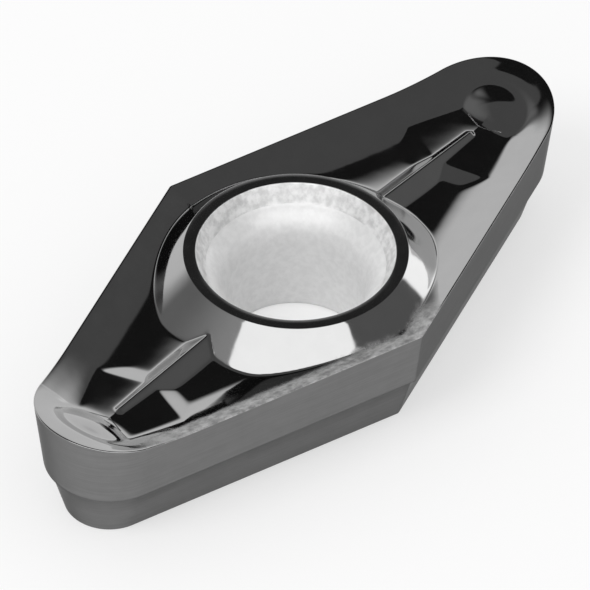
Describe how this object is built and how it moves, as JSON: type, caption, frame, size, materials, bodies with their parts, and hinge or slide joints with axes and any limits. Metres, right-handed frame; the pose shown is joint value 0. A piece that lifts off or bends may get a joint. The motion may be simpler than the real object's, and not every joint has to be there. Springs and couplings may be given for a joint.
{
  "type": "carbide insert",
  "caption": "Rhombic indexable carbide cutting insert with rounded noses, polished chip-breaker pockets, a raised ring round its screw hole and a stepped flank.",
  "frame": {"origin": "centre of the screw bore on the seating base", "axes": "+Z along the bore out of the rake side, +X along the long diagonal towards one nose, +Y along the short diagonal"},
  "size_m": [0.0282, 0.0132, 0.0056],
  "materials": {
    "carbide": "ground flanks, polished rake face"
  },
  "bodies": {
    "root": {"insert_body": "carbide"}
  },
  "joints": []
}
